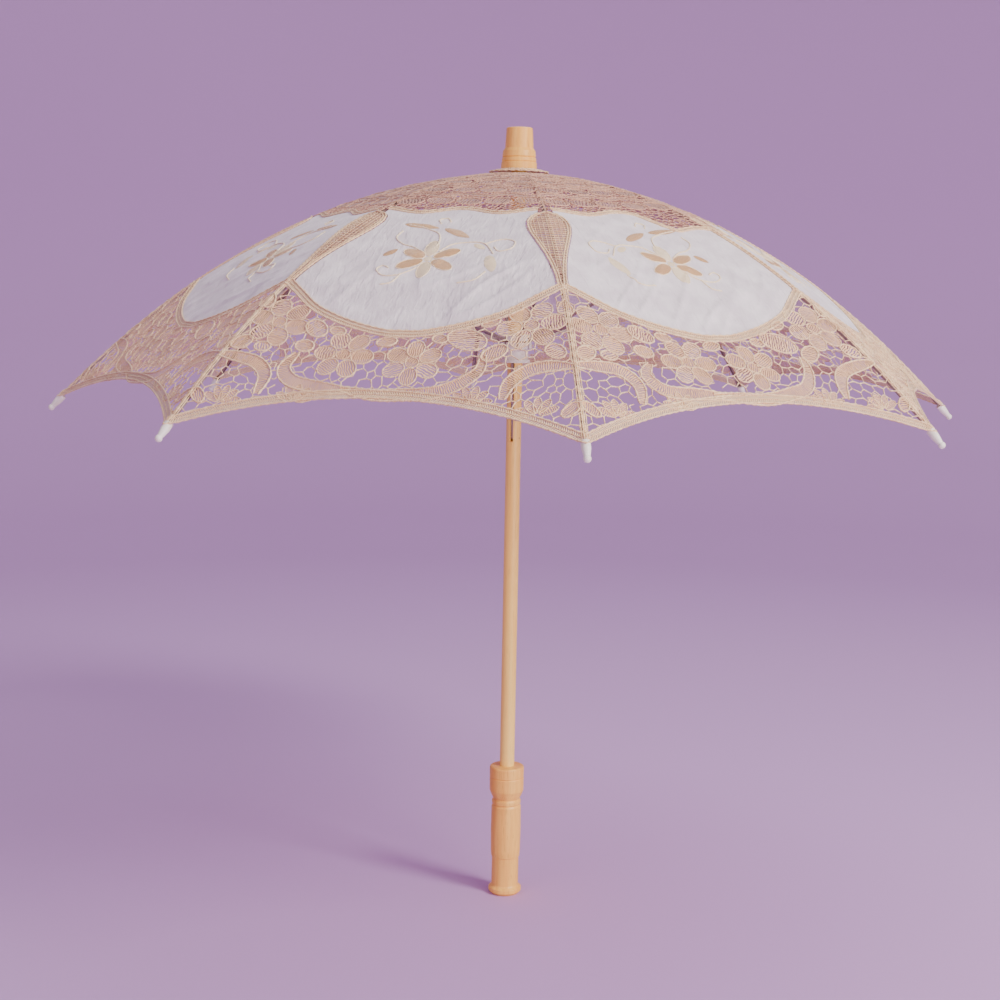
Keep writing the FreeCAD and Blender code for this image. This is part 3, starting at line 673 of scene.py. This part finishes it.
def draw_gore(gore):
    """The ivory panel, the border, the crown's lace and the seams of one gore."""
    chance = random.Random(40 + gore)
    drawing = Drawing(gore)
    plain = plain_side(gore)
    top, _, lower, _ = panel_sides(plain)
    panel = panel_outline(gore)

    # the ivory panel
    points, faces = filled(panel, 2.3)
    drawing.patch(points, faces, PANEL, points.copy(), crease_lift(points, panel, gore))
    drawing.taken.append(panel)

    # tapes and cords round the panel
    edge = beside(lower, -SCALLOP_TAPE / 2)
    if edge[len(edge) // 2, 1] < lower[len(lower) // 2, 1]:
        edge = beside(lower, SCALLOP_TAPE / 2)
    outer = 2 * edge - lower
    drawing.band(edge, SCALLOP_TAPE, TAPED, 0.15)
    for line in (lower, edge, outer):
        drawing.cord(line, CORD if line is not edge else 0.4, False, 0.35)
    drawing.taken.append(np.concatenate([lower, outer[::-1]]))
    drawing.cord(top, CORD, False, 0.3)
    drawing.cord(top - (0, TOP_TAPE), CORD, False, 0.3)
    drawing.band(top - (0, TOP_TAPE / 2), TOP_TAPE, TAPED, 0.15)
    drawing.taken.append(np.concatenate([top, (top - (0, TOP_TAPE))[::-1]]))

    # teardrops on the seams, or a plain seam
    down = np.arange(TEAR_TOP, CUSP + 1.0, 2.0)
    for sign in (1, -1):
        seam = np.column_stack([sign * seam_at(down), down])
        if plain == sign:
            drawing.cord(seam, 0.6, False, 0.2)
            drawing.cord(seam - (sign * 2.6, 0.0), CORD, False, 0.3)
            continue
        widths = tear_width(down)
        line = seam - np.column_stack([sign * widths, widths * 0])
        inner = seam - np.column_stack([sign * np.maximum(widths - 2.4, 0.4), widths * 0])
        drawing.cord(line, CORD, False, 0.4)
        drawing.cord(inner, 0.5, False, 0.4)
        strip = [[n, n + 1, len(down) + n + 1, len(down) + n] for n in range(len(down) - 1)]
        drawing.patch(np.concatenate([line, inner]), strip, TAPED,
                      np.concatenate([np.column_stack([down, widths * 0]),
                                      np.column_stack([down, widths * 0 + 2.4])]), 0.2)
        drawing.taken.append(np.concatenate([line, (seam + (sign * 30.0, 0.0))[::-1]]))
        rim = np.column_stack([sign * (seam_at(down) + 0.5), down])
        drawing.patch(np.concatenate([inner, rim]), strip, CROWN_LACE,
                      np.concatenate([np.column_stack([down, widths]),
                                      np.column_stack([down, widths * 0])]), -0.1)
        for offset in (1.5, 5.0, 8.5, 12.0, 15.0):
            run = down[(tear_width(down) > offset + 1.5) & (down < TEAR_END)]
            if len(run) > 2:
                drawing.cord(np.column_stack([sign * (seam_at(run) - offset), run]), 0.3, False, 0.1)
        for length in np.arange(TEAR_TOP + 5.0, 246.0, 3.4):
            width = float(tear_width(length)) - 1.2
            ends = sign * (float(seam_at(length)) - np.array([-1.0, width / 2, width]))
            drawing.cord(np.column_stack([ends, [length] * 3]), 0.3, False, 0.1)

    # the hem
    half = float(HEM_AT_RIB * math.tan(HALF)) + 2.0
    across = np.linspace(-half, half, 110)
    hem = np.column_stack([across, hem_at(across) - HEM_TAPE / 2 - 0.8])
    drawing.band(hem, HEM_TAPE, TAPED, 0.1)
    for offset, radius in ((-HEM_TAPE / 2, 0.75), (0.0, 0.4), (HEM_TAPE / 2, 0.75)):
        drawing.cord(hem + (0.0, offset), radius, False, 0.25)
    drawing.taken.append(np.concatenate([hem - (0, HEM_TAPE / 2), (hem + (0, HEM_TAPE / 2))[::-1]]))

    # flowers and scrolls of the border
    m = -1.0 if gore in (3, 6) else 1.0

    def at(v, length):
        return (m * v + chance.uniform(-1.5, 1.5), length + chance.uniform(-1.5, 1.5))
    drawing.rosette(at(-96, 325), 25.0, 6, 0.3, chance)
    drawing.rosette(at(-37, 356), 23.0, 6, 0.1, chance)
    drawing.rosette(at(16, 361), 22.0, 6, 0.5, chance)
    drawing.rosette(at(93, 322), 25.0, 6, 0.8, chance)
    for v, length, long, wide, angle, slot in (
            (50, 338, 31, 19, 0.35, 1), (-66, 329, 21, 14, 0.75, 1), (-10, 341, 15, 9, -0.2, 0),
            (73, 349, 20, 13, -0.7, 0), (31, 336, 12, 8, 0.2, 0), (-70, 347, 15, 11, 0.3, 0),
            (-114, 299, 20, 11, 1.25, 0), (114, 299, 20, 11, -1.25, 1), (113, 345, 17, 12, 0.6, 1),
            (-118, 345, 17, 12, -0.5, 0), (62, 318, 14, 8, -0.5, 0), (-48, 331, 13, 8, 0.3, 0),
            (-136, 398, 16, 9, 0.9, 0), (136, 398, 16, 9, -0.9, 0), (-100, 350, 13, 9, 0.1, 1)):
        drawing.motif(oval(at(v, length), long, wide, angle * m), slot, chance.uniform(-0.6, 1.6),
                      chance.uniform(0.0, 0.3))
    drawing.scroll([at(-72, 356), at(-78, 368), at(-68, 381), at(-46, 386), at(-22, 387)], 10.5)
    drawing.scroll([at(-30, 388), at(-8, 391), at(14, 390), at(36, 388), at(53, 380),
                    at(63, 367), at(64, 352)], 10.5)
    drawing.scroll([at(-132, 358), at(-115, 360), at(-99, 364), at(-90, 377), at(-92, 393)], 10.0)
    drawing.scroll([at(130, 358), at(112, 361), at(97, 366), at(87, 378), at(86, 392)], 10.5)
    drawing.scroll([(m * -128, 312), (m * -130, 326), (m * -134, 342)], 8.0)
    drawing.scroll([(m * 128, 312), (m * 130, 326), (m * 134, 342)], 8.0)
    for v, length, turn in ((-62, 398, -1.5), (66, 397, -1.4), (114, 404, -1.7), (-116, 404, -1.4)):
        drawing.fan(at(v, length), 14.0, turn, chance)
    reach = np.arange(CUSP, float(hem_at(half)), 4.0)
    border = np.concatenate([outer, np.column_stack([-seam_at(reach), reach]),
                             hem - (0, HEM_TAPE / 2), np.column_stack([seam_at(reach), reach])[::-1]])
    for sign in (1, -1):
        for inset, radius in ((0.7, 0.7), (2.4, 0.45)):
            drawing.cord(np.column_stack([sign * (seam_at(reach) - inset), reach]), radius, False, 0.15)
    drawing.net(border, 9.5, chance)

    # the crown's lace: rings of ovals between wavy tapes
    drawing.in_crown = True
    for length, count, long, wide in ((148, 5, 22, 15), (119, 4, 21, 15), (91, 3, 21, 14),
                                      (64, 2, 21, 14), (38, 1, 20, 12)):
        for n in range(count):
            v = (n - (count - 1) / 2) * 2.0 * float(seam_at(length)) / count
            middle = (v, length + chance.uniform(-1.5, 1.5))
            outline = oval(middle, long, wide, chance.uniform(-0.3, 0.3), count=18)
            turn = chance.uniform(-0.5, 0.5)
            drawing.motif(outline, CROWN_LACE, turn, chance.uniform(0.0, 0.3), 0.55)
    for length in (133.0, 105.0, 77.5, 51.0, 26.0):
        width = float(seam_at(length)) + 1.0
        across = np.linspace(-width, width, max(10, int(width)))
        path = np.column_stack([across, length + 2.2 * np.sin(across / 5.5)])
        drawing.band(path, 5.0, CROWN_LACE, 0.05)
        drawing.cord(beside(path, 2.5), 0.5, False, 0.15)
        drawing.cord(beside(path, -2.5), 0.5, False, 0.15)
        drawing.taken.append(np.concatenate([beside(path, 2.5), beside(path, -2.5)[::-1]]))
    reach = np.arange(14.0, 172.0, 5.0)
    crown = np.concatenate([np.column_stack([seam_at(reach), reach]), (top - (0, TOP_TAPE))[::-1],
                            np.column_stack([-seam_at(reach), reach])[::-1]])
    drawing.net(crown, 5.0, chance, 0.45)

    # seams along the ribs
    reach = np.arange(12.0, TEAR_TOP + 2.0, 4.0)
    for sign in (1, -1):
        drawing.cord(np.column_stack([sign * (seam_at(reach) - 0.4), reach]), 0.45, False, -0.1)
    return drawing


def draw_flower(gore):
    """The embroidery on the panel."""
    chance = random.Random(90 + gore)
    drawing = Drawing(gore)
    m = -1.0 if gore in (3, 6, 8, 2) else 1.0
    centre = (4.0 * m, 246.0)
    panel = panel_outline(gore)

    def satin(outline, slot, angle):
        points, faces = filled(outline, 2.2)
        depth = np.clip(edge_distance(points, outline) / 2.6, 0.0, 1.0)
        lift = 0.1 + 0.6 * depth + crease_lift(points, panel, gore)
        drawing.patch(points, faces, slot, turned(points, angle), lift)

    for n in range(6):
        angle = math.pi / 2 + n * math.pi / 3 + chance.uniform(-0.08, 0.08)
        away = 14.5
        middle = (centre[0] + math.cos(angle) * away, centre[1] + math.sin(angle) * away)
        petal = oval(middle, 21.0, 10.5, angle, 0.1, 20)
        satin(petal, 0 if n % 3 == 0 else 1, angle + 0.3)
        drawing.cord(petal, 0.36, True, 0.1 + crease_lift(petal, panel, gore))
    satin(oval(centre, 6.5, 6.5, 0.0, 0, 14), 0, 0.5)
    satin(oval((m * -8.0, 208.0), 27.0, 8.0, m * -0.55, 0.8, 20), 1, m * -0.55)
    satin(oval((m * 23.0, 197.5), 30.0, 7.5, m * -0.2, 0.8, 20), 1, m * -0.2)
    satin(oval((m * -45.0, 251.0), 23.0, 9.0, 1.2, 0.4, 20), 0, 1.2)
    satin(oval((m * 36.0, 238.0), 13.0, 6.0, 0.8 * m, 0.6, 16), 1, 0.8 * m)
    satin(oval((m * -31.0, 228.0), 12.0, 5.5, -0.6 * m, 0.6, 16), 0, -0.6 * m)
    stems = (
        [(4, 236), (2, 224), (6, 210), (18, 202), (34, 196)],
        [(-2, 236), (-10, 226), (-22, 222), (-34, 224), (-44, 238)],
        [(10, 238), (20, 230), (30, 226), (38, 216), (36, 206)],
        [(-34, 224), (-46, 217), (-56, 220), (-56, 231), (-47, 234), (-42, 228)],
        [(8, 256), (20, 266), (32, 268), (40, 262), (37, 256), (31, 259)],
        [(-44, 262), (-38, 272), (-26, 276)],
        [(20, 266), (24, 276), (32, 279)],
        [(2, 190), (6, 184), (12, 187), (9, 193)],
    )
    for stem in stems:
        line = smooth_line([(m * v, length) for v, length in stem], step=1.8)
        drawing.cord(line, 0.62, False, 0.15 + crease_lift(line, panel, gore))
    return drawing


# ---------------------------------------------------------------- from drawings to pieces

def round_cord_tree():
    """Geometry Nodes: every edge of a wire becomes a cord, as thick as its girth says."""
    tree = bpy.data.node_groups.new("round_cord", "GeometryNodeTree")
    tree.interface.new_socket("Wire", in_out="INPUT", socket_type="NodeSocketGeometry")
    tree.interface.new_socket("Sides", in_out="INPUT", socket_type="NodeSocketInt")
    tree.interface.new_socket("Unit", in_out="INPUT", socket_type="NodeSocketFloat")
    tree.interface.new_socket("Cord", in_out="INPUT", socket_type="NodeSocketMaterial")
    tree.interface.new_socket("Cords", in_out="OUTPUT", socket_type="NodeSocketGeometry")
    start = tree.nodes.new("NodeGroupInput")
    end = tree.nodes.new("NodeGroupOutput")
    curve = tree.nodes.new("GeometryNodeMeshToCurve")
    ring = tree.nodes.new("GeometryNodeCurvePrimitiveCircle")
    girth = tree.nodes.new("GeometryNodeInputNamedAttribute")
    girth.data_type = "FLOAT"
    girth.inputs["Name"].default_value = "girth"
    skin = tree.nodes.new("GeometryNodeCurveToMesh")
    whole = tree.nodes.new("GeometryNodeRealizeInstances")
    painted = tree.nodes.new("GeometryNodeSetMaterial")
    tree.links.new(start.outputs["Wire"], curve.inputs["Mesh"])
    tree.links.new(start.outputs["Sides"], ring.inputs["Resolution"])
    tree.links.new(start.outputs["Unit"], ring.inputs["Radius"])
    tree.links.new(curve.outputs["Curve"], skin.inputs["Curve"])
    tree.links.new(ring.outputs["Curve"], skin.inputs["Profile Curve"])
    tree.links.new(girth.outputs["Attribute"], skin.inputs["Scale"])
    skin.inputs["Fill Caps"].default_value = True
    tree.links.new(skin.outputs["Mesh"], whole.inputs["Geometry"])
    tree.links.new(whole.outputs["Geometry"], painted.inputs["Geometry"])
    tree.links.new(start.outputs["Cord"], painted.inputs["Material"])
    tree.links.new(painted.outputs["Geometry"], end.inputs["Cords"])
    return tree


ROUND_CORD = round_cord_tree()


def corded(name, chains, material, sides=5):
    """Chains of points in metres, each with a radius in millimetres, as one mesh of cords."""
    points, edges, girths = [], [], []
    for chain, radius, closed in chains:
        first = len(points)
        points += [tuple(p) for p in chain]
        girths += [radius * (1.0 + BEADED * (-1) ** n) for n in range(len(chain))]
        edges += [(first + n, first + n + 1) for n in range(len(chain) - 1)]
        if closed:
            edges.append((len(points) - 1, first))
    wire = bpy.data.meshes.new(name + "_wire")
    wire.from_pydata(points, edges, [])
    wire.attributes.new("girth", "FLOAT", "POINT").data.foreach_set("value", girths)
    piece = bpy.data.objects.new(name + "_wire", wire)
    bpy.context.scene.collection.objects.link(piece)
    modifier = piece.modifiers.new("round_cord", "NODES")
    modifier.node_group = ROUND_CORD
    sockets = {item.name: item.identifier for item in ROUND_CORD.interface.items_tree
               if item.in_out == "INPUT"}
    modifier[sockets["Sides"]] = sides
    modifier[sockets["Unit"]] = MM
    modifier[sockets["Cord"]] = material
    evaluated = piece.evaluated_get(bpy.context.evaluated_depsgraph_get())
    mesh = bpy.data.meshes.new_from_object(evaluated)
    mesh.name = name
    bpy.data.objects.remove(piece)
    bpy.data.meshes.remove(wire)
    mesh.materials.clear()
    mesh.materials.append(material)
    return mesh


def lay_threads(mesh, threads):
    """Gives a mesh the UV map that its threads follow, in millimetres."""
    chart = mesh.uv_layers.new(name="threads")
    corners = np.zeros(len(mesh.loops), int)
    mesh.loops.foreach_get("vertex_index", corners)
    chart.data.foreach_set("uv", threads[corners].astype(np.float32).ravel())


def sheet_mesh(drawing, name, materials):
    """The patches of a drawing on the canopy, as one mesh with its thread map."""
    flat = np.concatenate(drawing.points)
    lifts = np.concatenate(drawing.lifts)
    threads = np.concatenate(drawing.maps)
    places = on_gore(drawing.gore, flat, lifts - SUNK)
    mesh = bpy.data.meshes.new(name)
    mesh.from_pydata([tuple(p) for p in places], [], drawing.faces)
    for material in materials:
        mesh.materials.append(material)
    mesh.polygons.foreach_set("material_index", drawing.slots)
    mesh.polygons.foreach_set("use_smooth", [True] * len(mesh.polygons))
    lay_threads(mesh, threads)
    upright = bmesh.new()
    upright.from_mesh(mesh)
    for face in upright.faces:
        face.normal_update()
        if face.normal.z < 0:
            face.normal_flip()
    upright.to_mesh(mesh)
    upright.free()
    return mesh


def cut_out(mesh, name, gore, side):
    """One half of a gore's mesh: between its middle and the rib on that side."""
    middle = middle_of(gore)
    rib = middle + side * HALF
    work = bmesh.new()
    work.from_mesh(mesh)
    across_middle = Vector((-math.sin(middle), math.cos(middle), 0.0)) * side
    across_rib = Vector((-math.sin(rib), math.cos(rib), 0.0)) * side
    for normal, keep_front in ((across_middle, True), (across_rib, False)):
        everything = work.verts[:] + work.edges[:] + work.faces[:]
        bmesh.ops.bisect_plane(work, geom=everything, dist=1e-7, plane_co=(0, 0, 0), plane_no=normal,
                               clear_inner=keep_front, clear_outer=not keep_front)
    half = bpy.data.meshes.new(name)
    work.to_mesh(half)
    work.free()
    for material in mesh.materials:
        half.materials.append(material)
    return half


def put(mesh, name):
    piece = bpy.data.objects.new(name, mesh)
    bpy.context.scene.collection.objects.link(piece)
    return piece


for gore in range(1, RIBS + 1):
    drawing = draw_gore(gore)
    flower = draw_flower(gore)
    sheet = sheet_mesh(drawing, f"gore_{gore}", (SATIN, OPEN_SATIN, COTTON, TAPE, CROWN_SATIN))
    chains = ([], [])
    for path, radius, closed, lift, in_crown in drawing.cords:
        chains[in_crown].append((on_gore(gore, path, lift - SUNK), radius, closed))
    cords = corded(f"gore_cords_{gore}", chains[0], CORDS, 4)
    crown_cords = corded(f"crown_cords_{gore}", chains[1], CROWN_CORDS, 4)
    stitches = sheet_mesh(flower, f"flower_{gore}", (CREAM_STITCH, BEIGE_STITCH))
    chains = [(on_gore(gore, path, lift - SUNK), radius, closed)
              for path, radius, closed, lift, _ in flower.cords]
    stems = corded(f"stems_{gore}", chains, CREAM_STITCH, 6)
    for side in (-1, 1):
        rib = gore if side < 0 else gore % RIBS + 1
        word = "right" if side < 0 else "left"
        for mesh, label in ((sheet, "lace_cloth"), (cords, "lace_cords"), (crown_cords, "crown_cords"),
                            (stitches, "embroidery"), (stems, "stems")):
            name = f"{label}_{word}_{rib}"
            piece = put(cut_out(mesh, name, gore, side), name)
            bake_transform(piece)
        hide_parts(f"canopy_{word}_{rib}")
    for mesh in (sheet, cords, crown_cords, stitches, stems):
        bpy.data.meshes.remove(mesh)


def gathered_neck():
    """The lace gathered round the shaft under the cap."""
    around, rows = 192, 8
    points, faces, threads = [], [], []
    for row in range(rows + 1):
        share = row / rows
        for n in range(around):
            turn = 2.0 * math.pi * n / around
            wave = math.sin(turn * 24) * 0.9 * share + 0.4 * math.sin(turn * 7 + 1.0) * share
            radius = 14.6 + 10.6 * share**0.9
            height = 602.9 - 2.4 * share**1.3 + wave * 0.35
            points.append((math.cos(turn) * (radius + wave * 0.5) * MM,
                           math.sin(turn) * (radius + wave * 0.5) * MM, height * MM))
            threads.append((turn * 20.0, share * 12.0))
    for row in range(rows):
        for n in range(around):
            a, b = row * around + n, row * around + (n + 1) % around
            faces.append((a, a + around, b + around, b))
    mesh = bpy.data.meshes.new("neck_lace")
    mesh.from_pydata(points, [], faces)
    mesh.materials.append(SATIN)
    mesh.polygons.foreach_set("use_smooth", [True] * len(faces))
    lay_threads(mesh, np.array(threads))
    return put(mesh, "neck_lace")


neck = gathered_neck()
chains = []
for radius, height in ((25.2, 600.6), (20.0, 601.8), (15.2, 602.8)):
    turn = np.linspace(0, 2 * math.pi, 96, endpoint=False)
    chains.append((np.column_stack([np.cos(turn) * radius, np.sin(turn) * radius,
                                    height + 0.25 * np.sin(turn * 24)]) * MM, 0.6, True))
neck_cords = put(corded("neck_cords", chains, CORDS, 6), "neck_cords")
for piece in (neck, neck_cords):
    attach(piece, "stick")
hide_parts("crown_rosette")


# ---------------------------------------------------------------- stage, lights and camera

def stage_bowl():
    """A floor that sweeps up all round."""
    profile = [(0.0, 0.0), (1.9, 0.0), (2.3, 0.03), (2.65, 0.16), (2.9, 0.42), (3.0, 0.8), (3.0, 2.8)]
    around = 96
    points = [(0.0, 0.0, FLOOR)]
    for out, up in profile[1:]:
        for n in range(around):
            turn = 2.0 * math.pi * n / around
            points.append((math.cos(turn) * out, math.sin(turn) * out, FLOOR + up))
    faces = [(0, 1 + n, 1 + (n + 1) % around) for n in range(around)]
    for row in range(len(profile) - 2):
        for n in range(around):
            a, b = 1 + row * around + n, 1 + row * around + (n + 1) % around
            faces.append((a, a + around, b + around, b))
    mesh = bpy.data.meshes.new("floor")
    mesh.from_pydata(points, [], faces)
    mesh.polygons.foreach_set("use_smooth", [True] * len(faces))
    paper = Finish("pale_lilac_paper", 0.85)
    fibre = paper.speckle(paper.place(), 400.0)
    paper.use(Base_Color=paper.blend(fibre, colour(196, 156, 206), colour(200, 160, 209)))
    mesh.materials.append(paper.material)
    return put(mesh, "floor")


stage_bowl()


def soft_light(name, place, target, size, power, tint=(1.0, 1.0, 1.0)):
    light = bpy.data.lights.new(name, "AREA")
    light.shape = "DISK"
    light.size = size
    light.energy = power
    light.color = tint
    lamp = bpy.data.objects.new(name, light)
    lamp.location = place
    lamp.rotation_euler = (Vector(target) - Vector(place)).to_track_quat("-Z", "Y").to_euler()
    bpy.context.scene.collection.objects.link(lamp)


soft_light("key", (1.5, -1.4, 1.8), (0, 0, 0.45), 0.7, 64.0, (1.0, 0.97, 0.94))
soft_light("fill", (-1.6, -1.5, 1.1), (0, 0, 0.4), 1.6, 7.5, (1.0, 0.96, 0.97))
soft_light("low", (0.9, -1.9, 0.35), (0, 0, 0.3), 0.8, 25.0, (1.0, 0.95, 0.86))
soft_light("top", (0.2, 0.5, 2.4), (0, 0, 0.4), 1.8, 16.0)
world = bpy.data.worlds.new("studio")
world.use_nodes = True
world.node_tree.nodes["Background"].inputs["Color"].default_value = (0.93, 0.91, 0.96, 1.0)
world.node_tree.nodes["Background"].inputs["Strength"].default_value = 0.5
bpy.context.scene.world = world


def parasol_camera():
    """Slightly above the hem's level, a little to the left of rib 1."""
    lift, roll, yaw = math.radians(7.31), math.radians(1.09), math.radians(-6.44)
    turned = Matrix.Rotation(yaw, 4, "Z")
    right = turned @ Vector((1, 0, 0))
    ahead = turned @ Vector((0, math.cos(lift), -math.sin(lift)))
    up = turned @ Vector((0, math.sin(lift), math.cos(lift)))
    crown_top = Vector((0, 0, CROWN_HEIGHT * MM))
    place = crown_top - right * 0.01088 - up * 0.28352 - ahead * 1.41229
    level = right * math.cos(roll) + up * math.sin(roll)
    rise = up * math.cos(roll) - right * math.sin(roll)
    camera = bpy.data.cameras.new("camera")
    camera.lens = 58.72
    camera.sensor_width = 36.0
    seen = bpy.data.objects.new("camera", camera)
    axes = Matrix((level, rise, -ahead)).transposed().to_4x4()
    seen.matrix_world = Matrix.Translation(place) @ axes
    bpy.context.scene.collection.objects.link(seen)
    bpy.context.scene.camera = seen


parasol_camera()
